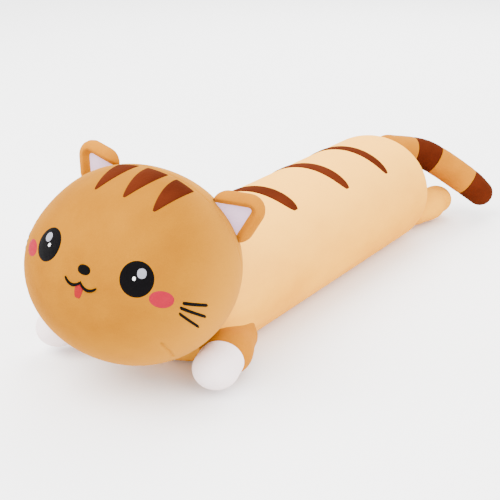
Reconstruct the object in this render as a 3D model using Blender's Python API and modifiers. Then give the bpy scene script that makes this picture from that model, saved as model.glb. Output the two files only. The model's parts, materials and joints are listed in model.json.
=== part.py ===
"""A long plush cat lying on its belly, as separate stuffed sections, covers and sewn-on patches.

Metres, +Z up. The cat faces -Y, its tail is at +Y and its left side is +X. The origin is on the floor, on the
flat of the belly under the shoulders. The head rests slightly turned, tipped and tilted, as the toy lies.
"""

from math import atan2, cos, pi, radians, sin, sqrt, tan

import bmesh
import bpy
from mathutils import Matrix, Vector

# --- Cloth and gaps -------------------------------------------------------------------------------
CLOTH = 0.0020  # plush cloth with its pile, as one thickness
LIMB_CLOTH = 0.0015
PATCH = 0.0012  # embroidery and applied patches
FIT_GAP = 0.0004  # between a cover and what fills it, and between a patch and the cover under it
SEAM_GAP = 0.0005  # between two covers that are sewn edge to edge

# --- Body -----------------------------------------------------------------------------------------
BODY_HALF_WIDTH = 0.0930
BODY_HALF_HEIGHT = 0.0865
BELLY_FLATTENED = 0.0140  # how much of the round the floor presses flat
BODY_AXIS_HEIGHT = BODY_HALF_HEIGHT - BELLY_FLATTENED
BODY_FRONT = -0.140
BODY_REAR = 0.500
BODY_END_ROUND = 0.075
BODY_LENGTH = BODY_REAR - BODY_FRONT
BEND_BEHIND_MIDDLE = 0.020
BEND_Y = (BODY_FRONT + BODY_REAR) / 2 + BEND_BEHIND_MIDDLE
BEND_RADIUS = max(BODY_HALF_WIDTH, BODY_HALF_HEIGHT) + 0.005
BEND_GAP = 0.0015
BEND_CUTTER_ROLL = radians(4)  # keeps the cutting ball's edges off the tube's own
STRIPE_LIFT = 0.0007  # keeps the flat facets of a stripe clear of the round cover
STRIPE_POINT = 0.08  # how narrow a back stripe's ends are, as a share of its cosine
# name, place from the front as a share of the body's length, half width, and degrees down each side
BACK_STRIPES = (
    ("front", 0.384375, 0.0135, 41),
    ("middle", 0.5859375, 0.0125, 46),
    ("rear", 0.75546875, 0.0105, 51),
)

# --- Head -----------------------------------------------------------------------------------------
HEAD_HALF_WIDTH = 0.122
HEAD_HALF_DEPTH = 0.118
HEAD_HALF_HEIGHT = 0.108
HEAD_CENTRE = Vector((-0.002, BODY_FRONT - 0.011, BODY_AXIS_HEIGHT + 0.0655))
HEAD_TURN = radians(6.7)
HEAD_NOD = radians(6.9)
HEAD_TILT = radians(12)
HEAD_SEAM = 0.040  # how far behind the head's middle the face panel meets the back panel

# --- Neck -----------------------------------------------------------------------------------------
NECK_PANEL = 0.0015
NECK_PANEL_RADIUS = 0.070
NECK_AIM = radians(25)  # below level, from the head's middle towards the body
NECK_PLUG = (0.02, 0.2)  # from the head's middle, the span of the round that the panel is cut with
NOD_CLEARANCE = 0.0025
TURN_CLEARANCE = 0.0030

# --- Ears -----------------------------------------------------------------------------------------
EAR_SIDE = 52  # degrees from the head's top, round towards its side
EAR_BACK = 0.055
EAR_HEIGHT = 0.060
EAR_HALF_BASE = 0.046
EAR_CORNER = 0.0210
EAR_ROOT = 0.012  # how far the pad runs down past its base's middle, to meet the round of the head
EAR_THICKNESS = 0.015
EAR_PANEL_HALF_BASE = 0.0195
EAR_PANEL_HEIGHT = 0.0320
EAR_PANEL_CORNER = 0.006
EAR_PANEL_UP = 0.0055
EAR_LEAN = radians(14)
EAR_CLEARANCE = 0.0022
EAR_CORNER_STEPS = 4

# --- Arms and hind legs ---------------------------------------------------------------------------
ARM_LENGTH = 0.082
ARM_RADIUS = 0.0270
ARM_PIVOTS = {
    "left": Vector((BODY_HALF_WIDTH - 0.020, BODY_FRONT + 0.079, ARM_RADIUS + 0.0055)),
    "right": Vector((-BODY_HALF_WIDTH + 0.009, BODY_FRONT + 0.062, ARM_RADIUS + 0.0055)),
}
PAW_RADIUS = 0.0280
PAW_CAP = 0.024  # from the paw's middle back to its seam
ARM_SPLAY = {"left": radians(18), "right": radians(29)}
LEG_LENGTH = 0.072
LEG_RADIUS = 0.0260
LEG_PIVOTS = {
    "left": Vector((BODY_HALF_WIDTH / 2 - 0.0005, BODY_REAR - 0.010, LEG_RADIUS + 0.0015)),
    "right": Vector((-BODY_HALF_WIDTH / 2 + 0.0005, BODY_REAR - 0.010, LEG_RADIUS + 0.0015)),
}
FOOT_RADIUS = 0.0265
FOOT_CAP = 0.012
LEG_SPLAY = {"left": radians(5), "right": radians(5)}
FLOOR_GAP = 0.0025  # a limb's end stays this clear of the floor
LIMB_GAP = 0.0015  # between a limb's round root and the hollow in the body that it turns in

# --- Tail -----------------------------------------------------------------------------------------
TAIL_ROOT = Vector((0.002, BODY_REAR - 0.022, BODY_AXIS_HEIGHT + 0.0520))
# name, where the band ends, and its radius there; a wider body spreads the tail's curl sideways
TAIL_BANDS = (
    ("base", TAIL_ROOT + Vector((BODY_HALF_WIDTH * 0.269, 0.063, -0.016)), 0.0235),
    ("dark_band", TAIL_ROOT + Vector((BODY_HALF_WIDTH * 0.548, 0.085, -0.033)), 0.0235),
    ("middle", TAIL_ROOT + Vector((BODY_HALF_WIDTH * 1.000, 0.109, -0.066)), 0.0230),
    ("tip", TAIL_ROOT + Vector((BODY_HALF_WIDTH * 1.172, 0.124, -0.0845)), 0.0210),
)
TAIL_BEND_GAP = 0.0013

# --- Face, as degrees left of the nose line and above the head's level ring -----------------------
EYE = dict(lon=30.4, lat=25.4, half_wide=HEAD_HALF_WIDTH * 0.154, half_high=HEAD_HALF_HEIGHT * 0.184)
LARGE_GLINT = dict(lon=2.5, lat=2.9, half_wide=0.0052, half_high=0.0056)  # from the eye's middle
SMALL_GLINT = dict(lon=-1.6, lat=0.2, half_wide=0.0018, half_high=0.0023)
CHEEK = dict(lon=44.0, lat=15.2, half_wide=HEAD_HALF_WIDTH * 0.118, half_high=HEAD_HALF_HEIGHT * 0.088)
CHEEK_DROOP = radians(14)
NOSE = dict(lon=0.0, lat=24.2, half_wide=0.0078, half_high=0.0056)
MOUTH_LAT = 17.4
MOUTH_HALF_WIDTH = 0.0190
MOUTH_DIP = 0.0055
MOUTH_HALF_LINE = 0.0016
TONGUE_HALF_WIDTH = 0.0050
TONGUE_DROP = 0.0128  # from the mouth's middle to the centre of the tongue's round end
WHISKERS = ((55.2, 11.9, 0.0345, -18), (53.6, 9.9, 0.0405, -30), (53.2, 6.9, 0.0370, -42))
WHISKER_HALF_WIDTH = 0.0018
HEAD_STRIPES = (("left", 17, 0.0135), ("middle", 0, 0.0135), ("right", -17, 0.0135))
HEAD_STRIPE_FROM = radians(71)  # above level, the pointed end on the forehead
HEAD_STRIPE_TO = radians(108)  # just before the seam, past the top of the head
HEAD_STRIPE_POINT = 0.04  # the share of its length that is cut off its pointed end

COLOURS = {
    "tan_plush": (0.745, 0.413, 0.134),
    "peach_plush": (0.874, 0.639, 0.376),
    "orange_plush": (0.791, 0.371, 0.091),
    "brown_plush": (0.270, 0.080, 0.028),
    "white_plush": (0.800, 0.770, 0.760),
    "ear_plush": (0.720, 0.640, 0.690),
    "pink_plush": (0.740, 0.100, 0.125),
    "tongue_felt": (0.700, 0.090, 0.080),
    "black_thread": (0.012, 0.011, 0.012),
    "grey_thread": (0.560, 0.560, 0.600),
    "white_thread": (0.850, 0.850, 0.850),
    "polyester_fill": (0.860, 0.860, 0.840),
}

SIDES = (("left", 1), ("right", -1))
EMPTY_SIZE = 0.03  # how large a joint's marker is drawn
SAME = 1e-4  # places closer than this are taken as one


# --- Scene helpers --------------------------------------------------------------------------------
def clear_scene():
    for obj in list(bpy.data.objects):
        bpy.data.objects.remove(obj, do_unlink=True)


def collection(name, hidden=False):
    made = bpy.data.collections.new(name)
    bpy.context.scene.collection.children.link(made)
    made.hide_render = hidden
    return made


def material(name):
    if name in bpy.data.materials:
        return bpy.data.materials[name]
    made = bpy.data.materials.new(name)
    made.use_nodes = True
    shader = made.node_tree.nodes["Principled BSDF"]
    shader.inputs["Base Color"].default_value = (*COLOURS[name], 1)
    shader.inputs["Roughness"].default_value = 0.9
    shader.inputs["Metallic"].default_value = 0.0
    made.diffuse_color = (*COLOURS[name], 1)
    return made


def adopt(obj, name, colour=None, parent=None):
    """Name a finished object and file it: with a colour it is a piece, without one a cutter."""
    obj.name = name
    obj.data.name = name
    for other in list(obj.users_collection):
        other.objects.unlink(obj)
    if colour is None:
        CUTTERS.objects.link(obj)
        obj.hide_render = True
        obj.display_type = "WIRE"
        return obj
    PARTS.objects.link(obj)
    obj.data.materials.clear()
    obj.data.materials.append(material(colour))
    if parent:
        obj.parent = parent
        obj.matrix_parent_inverse = PARENT_INVERSE[parent.name]
    return obj


def joint_empty(name, point, parent=None, matrix=None):
    """An empty on a joint's axis. A piece that hangs from it keeps its own world placing."""
    made = bpy.data.objects.new(name, None)
    made.empty_display_size = EMPTY_SIZE
    PARTS.objects.link(made)
    made.matrix_world = matrix or Matrix.Translation(point)
    PARENT_INVERSE[name] = made.matrix_world.inverted()
    if parent:
        made.parent = parent
        made.matrix_parent_inverse = PARENT_INVERSE[parent.name]
    return made


def boolean(obj, cutter, operation="DIFFERENCE"):
    modifier = obj.modifiers.new(operation.title() + " " + cutter.name, "BOOLEAN")
    modifier.operation = operation
    modifier.solver = "EXACT"
    modifier.object = cutter


def solidify(obj, thickness, offset=-1.0):
    modifier = obj.modifiers.new("Cloth", "SOLIDIFY")
    modifier.thickness = thickness
    modifier.offset = offset
    modifier.use_even_offset = True


def smooth(obj):
    for face in obj.data.polygons:
        face.use_smooth = True


# --- Shapes ---------------------------------------------------------------------------------------
def ball(segments=26, rings=12):
    """A sphere of radius 1 with its poles along Y, ready to be stretched."""
    bpy.ops.mesh.primitive_uv_sphere_add(segments=segments, ring_count=rings, radius=1)
    obj = bpy.context.object
    obj.data.transform(Matrix.Rotation(pi / 2, 4, "X"))
    smooth(obj)
    return obj


def head_ball(grow):
    """The head's shape, grown all round, in world coordinates."""
    obj = ball()
    half = (HEAD_HALF_WIDTH + grow, HEAD_HALF_DEPTH + grow, HEAD_HALF_HEIGHT + grow)
    obj.data.transform(HEAD_MATRIX @ Matrix.Diagonal((*half, 1)))
    return obj


def body_tube(grow, floor):
    """The body's shape, grown all round: a stretched ball, flat underneath at the height floor."""
    obj = ball()
    mesh = bmesh.new()
    mesh.from_mesh(obj.data)
    ring = [e for e in mesh.edges if all(abs(v.co.y) < SAME for v in e.verts)]
    bmesh.ops.split_edges(mesh, edges=ring)
    front = BODY_FRONT + BODY_END_ROUND
    rear = BODY_REAR - BODY_END_ROUND
    loose = [e for e in mesh.edges if len(e.link_faces) == 1]
    for v in mesh.verts:
        front_side = sum(f.calc_center_median().y for f in v.link_faces) < 0
        end = front if front_side else rear
        v.co.y = end + v.co.y * (BODY_END_ROUND + grow)
        v.co.x *= BODY_HALF_WIDTH + grow
        v.co.z = BODY_AXIS_HEIGHT + v.co.z * (BODY_HALF_HEIGHT + grow)
    bmesh.ops.bridge_loops(mesh, edges=loose)
    cut = bmesh.ops.bisect_plane(
        mesh,
        geom=mesh.verts[:] + mesh.edges[:] + mesh.faces[:],
        dist=1e-6,
        plane_co=(0, 0, floor),
        plane_no=(0, 0, -1),
        clear_outer=True,
    )
    rim = [e for e in cut["geom_cut"] if isinstance(e, bmesh.types.BMEdge)]
    bmesh.ops.contextual_create(mesh, geom=rim)
    bmesh.ops.recalc_face_normals(mesh, faces=mesh.faces[:])
    mesh.to_mesh(obj.data)
    mesh.free()
    return obj


def turned(profile, matrix, steps=18):
    """A profile of (radius, distance along) turned about its own axis, which matrix aims."""
    mesh = bmesh.new()
    points = [mesh.verts.new((r, 0, along)) for r, along in profile]
    for a, b in zip(points, points[1:]):
        mesh.edges.new((a, b))
    data = bpy.data.meshes.new("profile")
    mesh.to_mesh(data)
    mesh.free()
    obj = bpy.data.objects.new("profile", data)
    bpy.context.scene.collection.objects.link(obj)
    obj.matrix_world = matrix
    screw = obj.modifiers.new("Turn", "SCREW")
    screw.steps = steps
    screw.render_steps = steps
    screw.use_merge_vertices = True
    screw.merge_threshold = 0.0001
    screw.use_normal_flip = True
    screw.use_smooth_shade = True
    return obj


def aim(point, direction):
    """A matrix that puts local +Z along direction at point."""
    turn = direction.normalized().to_track_quat("Z", "Y").to_matrix().to_4x4()
    return Matrix.Translation(point) @ turn


def arc(radius, centre, start, end, count):
    """Profile points on an arc; angles from the axis's tail end, so 0 is the back pole and pi the tip."""
    turns = [start + (end - start) * i / count for i in range(count + 1)]
    return [(max(0.0, radius * sin(t)), centre - radius * cos(t)) for t in turns]


def surface_patch(name, across, along, place, normal, colour, parent, thickness=PATCH):
    """A grid laid on a surface by place(u, v), each from -1 to 1, and thickened outwards."""
    mesh = bmesh.new()
    bmesh.ops.create_grid(mesh, x_segments=across, y_segments=along, size=1)
    for v in mesh.verts:
        v.co = place(v.co.x, v.co.y)
    mesh.normal_update()
    if sum(f.normal.dot(normal(f.calc_center_median())) for f in mesh.faces) < 0:
        bmesh.ops.reverse_faces(mesh, faces=mesh.faces[:])
    data = bpy.data.meshes.new(name)
    mesh.to_mesh(data)
    mesh.free()
    obj = bpy.data.objects.new(name, data)
    smooth(obj)
    solidify(obj, thickness, 1.0)
    return adopt(obj, name, colour, parent)


def disc(u, v):
    """A square from -1 to 1 pressed into a circle."""
    return u * sqrt(1 - v * v / 2), v * sqrt(1 - u * u / 2)


# --- Places on the head ---------------------------------------------------------------------------
def on_head(lon, lat, right=0.0, up=0.0, lift=FIT_GAP):
    """A point on the head's cover, right and up in metres from the place at lon and lat degrees."""
    lon, lat = radians(lon), radians(lat)
    out = Vector((sin(lon) * cos(lat), -cos(lon) * cos(lat), sin(lat)))
    side = Vector((cos(lon), sin(lon), 0))
    rise = side.cross(out)
    half = Vector((HEAD_HALF_WIDTH, HEAD_HALF_DEPTH, HEAD_HALF_HEIGHT))
    reach = 1 / sqrt(sum((out[i] / half[i]) ** 2 for i in range(3)))
    there = out * reach + side * right - rise * up
    there /= sqrt(sum((there[i] / half[i]) ** 2 for i in range(3)))
    slope = Vector([there[i] / half[i] ** 2 for i in range(3)]).normalized()
    return HEAD_MATRIX @ (there + slope * lift)


def head_normal(point):
    return point - HEAD_CENTRE


def oval(name, spot, side, colour, parent, steps=6, lift=FIT_GAP, turn=0.0):
    def place(u, v):
        u, v = disc(u, v)
        right = u * spot["half_wide"]
        up = v * spot["half_high"]
        across = right * cos(turn) - up * sin(turn)
        rise = right * sin(turn) + up * cos(turn)
        return on_head(side * spot["lon"], spot["lat"], across, rise, lift)

    return surface_patch(name, steps, steps, place, head_normal, colour, parent)


# --- The head -------------------------------------------------------------------------------------
def build_head(pivot):
    """Face panel and back panel, sewn in a ring through the ears, over one ball of fill."""
    flip = {"head_face_panel": -1, "head_back_panel": 1}
    for name, way in flip.items():
        obj = head_ball(0)
        mesh = bmesh.new()
        mesh.from_mesh(obj.data)
        seam = HEAD_MATRIX @ Vector((0, HEAD_SEAM + way * SEAM_GAP / 2, 0))
        bmesh.ops.bisect_plane(
            mesh,
            geom=mesh.verts[:] + mesh.edges[:] + mesh.faces[:],
            plane_co=seam,
            plane_no=HEAD_MATRIX.to_3x3() @ Vector((0, way, 0)),
            clear_inner=True,
        )
        mesh.to_mesh(obj.data)
        mesh.free()
        solidify(obj, CLOTH)
        adopt(obj, name, "tan_plush", pivot)
    adopt(head_ball(-CLOTH - FIT_GAP), "head_stuffing", "polyester_fill", pivot)


def build_face(pivot):
    for word, side in SIDES:
        oval("eye_" + word, EYE, side, "black_thread", pivot, 6)
        over = FIT_GAP + PATCH + FIT_GAP
        for kind, spot, colour in (
            ("large", LARGE_GLINT, "grey_thread"),
            ("small", SMALL_GLINT, "white_thread"),
        ):
            where = dict(spot, lon=EYE["lon"] + spot["lon"], lat=EYE["lat"] + spot["lat"])
            oval(f"eye_glint_{kind}_{word}", where, side, colour, pivot, 3, over)
        oval("cheek_" + word, CHEEK, side, "pink_plush", pivot, 5, turn=-CHEEK_DROOP * side)
        for number, (lon, lat, length, tip) in enumerate(WHISKERS, 1):
            whisker(f"whisker_{word}_{number}", side, lon, lat, length, radians(tip), pivot)
    oval("nose", NOSE, 1, "black_thread", pivot, 5)

    def dip(across):
        return MOUTH_DIP * abs(sin(pi * across / MOUTH_HALF_WIDTH)) ** 0.8

    def mouth(u, v):
        across = u * MOUTH_HALF_WIDTH
        return on_head(0, MOUTH_LAT, across, v * MOUTH_HALF_LINE - dip(across))

    def tongue(u, v):
        across = u * TONGUE_HALF_WIDTH
        top = -dip(across) - MOUTH_HALF_LINE - 2 * FIT_GAP
        low = -TONGUE_DROP - TONGUE_HALF_WIDTH * sqrt(1 - (u * 0.9) ** 2)
        return on_head(0, MOUTH_LAT, across, low + (v + 1) / 2 * (top - low))

    surface_patch("mouth_line", 16, 1, mouth, head_normal, "black_thread", pivot)
    surface_patch("tongue", 4, 3, tongue, head_normal, "tongue_felt", pivot)


def whisker(name, side, lon, lat, length, tip, pivot):
    def place(u, v):
        along = (u + 1) / 2 * length
        wide = v * WHISKER_HALF_WIDTH
        return on_head(side * lon, lat, side * along * cos(tip), wide + along * sin(tip))

    surface_patch(name, 6, 1, place, head_normal, "black_thread", pivot)


def build_head_stripes(pivot):
    """Three stripes that start in a point on the forehead and widen as far as the head's seam."""
    for word, lon, half_wide in HEAD_STRIPES:

        def place(u, v):
            along = (v + 1) / 2
            lat = HEAD_STRIPE_FROM + along * (HEAD_STRIPE_TO - HEAD_STRIPE_FROM)
            wide = half_wide * sin(pi / 2 * (HEAD_STRIPE_POINT + (1 - HEAD_STRIPE_POINT) * along)) ** 0.8
            side = radians(lon)
            out = Vector((sin(side), -cos(side) * cos(lat), cos(side) * sin(lat)))
            half = Vector((HEAD_HALF_WIDTH, HEAD_HALF_DEPTH, HEAD_HALF_HEIGHT))
            there = Vector([out[i] * half[i] for i in range(3)]) + Vector((u * wide, 0, 0))
            there /= sqrt(sum((there[i] / half[i]) ** 2 for i in range(3)))
            slope = Vector([there[i] / half[i] ** 2 for i in range(3)]).normalized()
            return HEAD_MATRIX @ (there + slope * FIT_GAP)

        surface_patch("head_stripe_" + word, 2, 8, place, head_normal, "brown_plush", pivot)


def ear_outline(half_base, height, corner):
    """A triangle with rounded corners, base along X and tip up Y."""
    points = []
    corners = ((-half_base, 0.0), (half_base, 0.0), (0.0, height))
    for i, here in enumerate(corners):
        before = Vector(corners[i - 1])
        after = Vector(corners[(i + 1) % 3])
        spot = Vector(here)
        to_before = (before - spot).normalized()
        to_after = (after - spot).normalized()
        half_angle = to_before.angle(to_after) / 2
        middle = spot + (to_before + to_after).normalized() * corner / sin(half_angle)
        back_off = corner / tan(half_angle)
        first = spot + to_before * back_off - middle
        last = spot + to_after * back_off - middle
        start = atan2(first.y, first.x)
        end = atan2(last.y, last.x)
        while end < start:
            end += 2 * pi
        for step in range(EAR_CORNER_STEPS + 1):
            turn = start + (end - start) * step / EAR_CORNER_STEPS
            points.append(middle + Vector((cos(turn), sin(turn))) * corner)
    return points


def ear_slab(half_base, height, corner, back, front, matrix, bevel=0.0):
    """A flat pad with the ear's outline, from depth back to depth front, in world coordinates."""
    mesh = bmesh.new()
    rim = [mesh.verts.new((p.x, p.y, back)) for p in ear_outline(half_base, height, corner)]
    face = mesh.faces.new(rim)
    raised = bmesh.ops.extrude_face_region(mesh, geom=[face])["geom"]
    top = [v for v in raised if isinstance(v, bmesh.types.BMVert)]
    bmesh.ops.translate(mesh, verts=top, vec=(0, 0, front - back))
    if bevel:
        edges = [e for e in mesh.edges if abs(e.verts[0].co.z - e.verts[1].co.z) < SAME]
        bmesh.ops.bevel(mesh, geom=edges, offset=bevel, segments=2, affect="EDGES", profile=0.5)
    bmesh.ops.recalc_face_normals(mesh, faces=mesh.faces[:])
    data = bpy.data.meshes.new("ear")
    mesh.to_mesh(data)
    mesh.free()
    data.transform(matrix)
    obj = bpy.data.objects.new("ear", data)
    bpy.context.scene.collection.objects.link(obj)
    return obj


def ear_matrix(side):
    """The ear's frame at its base's middle: X along the base, Y to the tip, Z out of the inner face."""
    turn = radians(EAR_SIDE) * side
    up = Vector((sin(turn), 0, cos(turn)))
    half = Vector((HEAD_HALF_WIDTH, HEAD_HALF_DEPTH, HEAD_HALF_HEIGHT))
    ring = sqrt(1 - (EAR_BACK / half.y) ** 2)
    reach = ring / sqrt((up.x / half.x) ** 2 + (up.z / half.z) ** 2)
    base = up * reach + Vector((0, EAR_BACK, 0))
    rise = (up * cos(EAR_LEAN) + Vector((0, sin(EAR_LEAN), 0))).normalized()
    face = (Vector((0, -1, 0)) - rise * rise.dot(Vector((0, -1, 0)))).normalized()
    along = rise.cross(face)
    frame = Matrix((along, rise, face)).transposed().to_4x4()
    return HEAD_MATRIX @ Matrix.Translation(base) @ frame


def build_ears(pivot):
    """Each ear is a tray of orange plush, a thin pad in it and a pale panel closing it."""
    scoop = adopt(head_ball(EAR_CLEARANCE), "cut_head_from_ears")
    floor = -EAR_THICKNESS / 2 + LIMB_CLOTH
    lid = EAR_THICKNESS / 2 - LIMB_CLOTH
    for word, side in SIDES:
        matrix = ear_matrix(side)
        hinge = joint_empty("ear_pivot_" + word, None, pivot, matrix)
        lower = matrix @ Matrix.Translation((0, -EAR_ROOT, 0))
        outside = (EAR_HALF_BASE, EAR_HEIGHT + EAR_ROOT, EAR_CORNER)
        cover = ear_slab(*outside, -EAR_THICKNESS / 2, EAR_THICKNESS / 2, lower, EAR_THICKNESS / 4)
        adopt(cover, "ear_cover_" + word, "orange_plush", hinge)
        inset = matrix @ Matrix.Translation((0, EAR_PANEL_UP, 0))
        room = (EAR_PANEL_HALF_BASE, EAR_PANEL_HEIGHT, EAR_PANEL_CORNER)
        tray = adopt(ear_slab(*room, floor, EAR_THICKNESS, inset), "cut_ear_tray_" + word)
        boolean(cover, tray)
        boolean(cover, scoop)
        inner = (room[0] - 2 * FIT_GAP, room[1] - 3 * FIT_GAP, room[2])
        shift = inset @ Matrix.Translation((0, FIT_GAP, 0))
        pad = ear_slab(*inner, floor + FIT_GAP, lid - FIT_GAP, shift)
        adopt(pad, "ear_stuffing_" + word, "polyester_fill", hinge)
        panel = ear_slab(*inner, lid, lid + LIMB_CLOTH, shift)
        adopt(panel, "ear_inner_panel_" + word, "ear_plush", hinge)
        boolean(pad, scoop)
        boolean(panel, scoop)


def build_neck(pivot):
    """The dished end panel of the body's cover, which the head is sewn to."""
    outer = head_ball(NOD_CLEARANCE + NECK_PANEL)
    adopt(outer, "neck_panel", "peach_plush", pivot)
    boolean(outer, adopt(head_ball(NOD_CLEARANCE), "cut_head_from_neck"))
    aimed = Vector((0, cos(NECK_AIM), -sin(NECK_AIM)))
    near, far = NECK_PLUG
    profile = [(0, near), (NECK_PANEL_RADIUS, near), (NECK_PANEL_RADIUS, far), (0, far)]
    plug = turned(profile, aim(HEAD_CENTRE, aimed))
    adopt(plug, "cut_neck_round")
    boolean(outer, as_mesh(plug), "INTERSECT")


def as_mesh(obj):
    """The same object with its modifiers applied, so that it can cut."""
    bpy.context.view_layer.update()
    graph = bpy.context.evaluated_depsgraph_get()
    data = bpy.data.meshes.new_from_object(obj.evaluated_get(graph))
    obj.modifiers.clear()
    obj.data = data
    return obj


# --- The body -------------------------------------------------------------------------------------
def limb_frames(pivots, length, end_radius, splay, way):
    """For each side, its root point and a matrix with +Z along the limb, its end just off the floor."""
    frames = {}
    for word, side in SIDES:
        root = pivots[word]
        angle = splay[word]
        drop = end_radius + FLOOR_GAP - root.z
        flat = sqrt(length**2 - drop**2)
        direction = Vector((sin(angle) * side * flat, way * cos(angle) * flat, drop))
        frames[word] = (root, aim(root, direction))
    return frames


def build_body(torso_front, torso_rear, arms, legs):
    """Two cover sections and their fill, which meet on a ball round the bend and turn on it."""
    bend = Vector((0, BEND_Y, BODY_AXIS_HEIGHT))
    shapes = {
        "cover": (0.0, 0.0),
        "inner": (-CLOTH, CLOTH),
        "stuffing": (-CLOTH - FIT_GAP, CLOTH + FIT_GAP),
    }
    hollow = adopt(body_tube(*shapes["inner"]), "cut_cover_hollow")
    behind = {}
    for word, radius in (("front", BEND_RADIUS + BEND_GAP), ("rear", BEND_RADIUS)):
        cutter = ball(32, 16)
        rolled = Matrix.Rotation(BEND_CUTTER_ROLL, 4, "Y") @ Matrix.Scale(radius, 4)
        cutter.data.transform(Matrix.Translation(bend) @ rolled)
        mesh = bmesh.new()
        mesh.from_mesh(cutter.data)
        for v in mesh.verts:
            if v.co.y > BEND_Y + SAME:
                v.co.y += BODY_REAR
        mesh.to_mesh(cutter.data)
        mesh.free()
        behind[word] = adopt(cutter, "cut_bend_" + word)
    scoop = adopt(head_ball(NOD_CLEARANCE + NECK_PANEL + TURN_CLEARANCE), "cut_head_from_body")
    for kind in ("cover", "stuffing"):
        for word, parent in (("front", torso_front), ("rear", torso_rear)):
            obj = body_tube(*shapes[kind])
            colour = "peach_plush" if kind == "cover" else "polyester_fill"
            adopt(obj, f"body_{kind}_{word}", colour, parent)
            if kind == "cover":
                boolean(obj, hollow)
            boolean(obj, behind[word], "DIFFERENCE" if word == "front" else "INTERSECT")
            if word == "front":
                boolean(obj, scoop)
            for cutter in arms if word == "front" else legs:
                boolean(obj, cutter)
    for word, share, half_wide, reach in BACK_STRIPES:
        y = BODY_FRONT + share * BODY_LENGTH
        parent = torso_front if y < BEND_Y - BEND_RADIUS / 2 else torso_rear
        back_stripe("back_stripe_" + word, y, half_wide, radians(reach), parent)


def back_stripe(name, y, half_wide, reach, parent):
    """A crescent of brown plush laid over the back, pointed at both ends."""

    def place(u, v):
        turn = u * reach
        wide = half_wide * max(STRIPE_POINT, cos(u * pi / 2)) ** 0.6
        x = (BODY_HALF_WIDTH + STRIPE_LIFT) * sin(turn)
        z = BODY_AXIS_HEIGHT + (BODY_HALF_HEIGHT + STRIPE_LIFT) * cos(turn)
        return Vector((x, y + v * wide, z))

    surface_patch(name, 14, 2, place, lambda p: p - Vector((0, p.y, BODY_AXIS_HEIGHT)), "brown_plush", parent)


# --- Arms and legs --------------------------------------------------------------------------------
def limb_profiles(radius, end_radius, length, cap):
    """Open profiles of a limb's sleeve and of the cap on its end, and the closed one of its fill."""
    seam = length - cap
    sleeve = arc(radius, 0, 0, pi / 2, 4) + [(radius, seam - SEAM_GAP / 2)]
    end = [(end_radius, seam + SEAM_GAP / 2)] + arc(end_radius, length, pi / 2, pi, 4)
    inside = min(radius, end_radius) - LIMB_CLOTH - FIT_GAP
    core = arc(inside, 0, 0, pi / 2, 4) + arc(inside, length, pi / 2, pi, 4)
    return sleeve, end, core


def build_limbs(words, frames, profiles, parent, colours):
    """A sleeve, an end cap and the fill of each limb, on an empty at its root."""
    sleeve, end, core = profiles
    limb, tip = words
    for word, _side in SIDES:
        root, matrix = frames[word]
        pivot = joint_empty(f"{limb}_pivot_{word}", root, parent)
        pieces = ((f"{limb}_sleeve_{word}", sleeve, colours[0]), (f"{tip}_{word}", end, colours[1]))
        for name, profile, colour in pieces:
            obj = turned(profile, matrix)
            solidify(obj, LIMB_CLOTH)
            adopt(obj, name, colour, pivot)
        adopt(turned(core, matrix), f"{limb}_stuffing_{word}", "polyester_fill", pivot)


def limb_cutters(limb, frames, radius, length):
    made = []
    for word, _side in SIDES:
        _root, matrix = frames[word]
        grown = radius + LIMB_GAP
        profile = arc(grown, 0, 0, pi / 2, 4) + arc(grown, length, pi / 2, pi, 4)
        made.append(as_mesh(adopt(turned(profile, matrix), f"cut_{limb}_{word}")))
    return made


# --- The tail -------------------------------------------------------------------------------------
def tail_band_cutter(name, start, end, radius):
    """A round-ended hollow with a little room round one band, from its root ball on."""
    grown = radius + TAIL_BEND_GAP
    length = (end - start).length
    profile = arc(grown, 0, 0, pi / 2, 5) + [(grown, length * 2), (0, length * 2)]
    return as_mesh(adopt(turned(profile, aim(start, end - start)), "cut_tail_" + name))


def build_tail(torso_rear):
    """Bands of cover, each with its fill. Each starts in a ball that turns in the end of the one before."""
    parent = torso_rear
    start = TAIL_ROOT
    radius = TAIL_BANDS[0][2]
    before = []
    shrink = LIMB_CLOTH + FIT_GAP
    for word, end, end_radius in TAIL_BANDS:
        length = (end - start).length
        matrix = aim(start, end - start)
        parent = joint_empty("tail_pivot_" + word, start, parent)
        if before:
            cutter = tail_band_cutter(word, start, end, radius)
            for piece in before:
                boolean(piece, cutter)
        last = word == TAIL_BANDS[-1][0]
        shape = arc(radius, 0, pi / 5, pi / 2, 3)
        shape += arc(end_radius, length, pi / 2, pi, 5) if last else [(end_radius, length)]
        cover = turned(shape, matrix)
        solidify(cover, LIMB_CLOTH)
        colour = "brown_plush" if word in ("dark_band", "tip") else "orange_plush"
        adopt(cover, "tail_cover_" + word, colour, parent)
        core = arc(radius - shrink, 0, 0, pi / 2, 4)
        inside = end_radius - shrink
        core += arc(inside, length, pi / 2, pi, 4) if last else [(inside, length), (0, length)]
        fill = turned(core, matrix)
        adopt(fill, "tail_stuffing_" + word, "polyester_fill", parent)
        before = [cover, fill]
        start, radius = end, end_radius


clear_scene()
PARENT_INVERSE = {}
PARTS = collection("plush_cat")
CUTTERS = collection("cutters", hidden=True)
HEAD_MATRIX = (
    Matrix.Translation(HEAD_CENTRE)
    @ Matrix.Rotation(HEAD_TURN, 4, "Z")
    @ Matrix.Rotation(HEAD_NOD, 4, "X")
    @ Matrix.Rotation(HEAD_TILT, 4, "Y")
)

torso_front = joint_empty("torso_front", Vector((0, 0, 0)))
torso_rear = joint_empty("torso_rear", Vector((0, BEND_Y, BODY_AXIS_HEIGHT)), torso_front)
neck = joint_empty("neck_pivot", HEAD_CENTRE, torso_front)
head = joint_empty("head_pivot", HEAD_CENTRE, neck)

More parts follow.
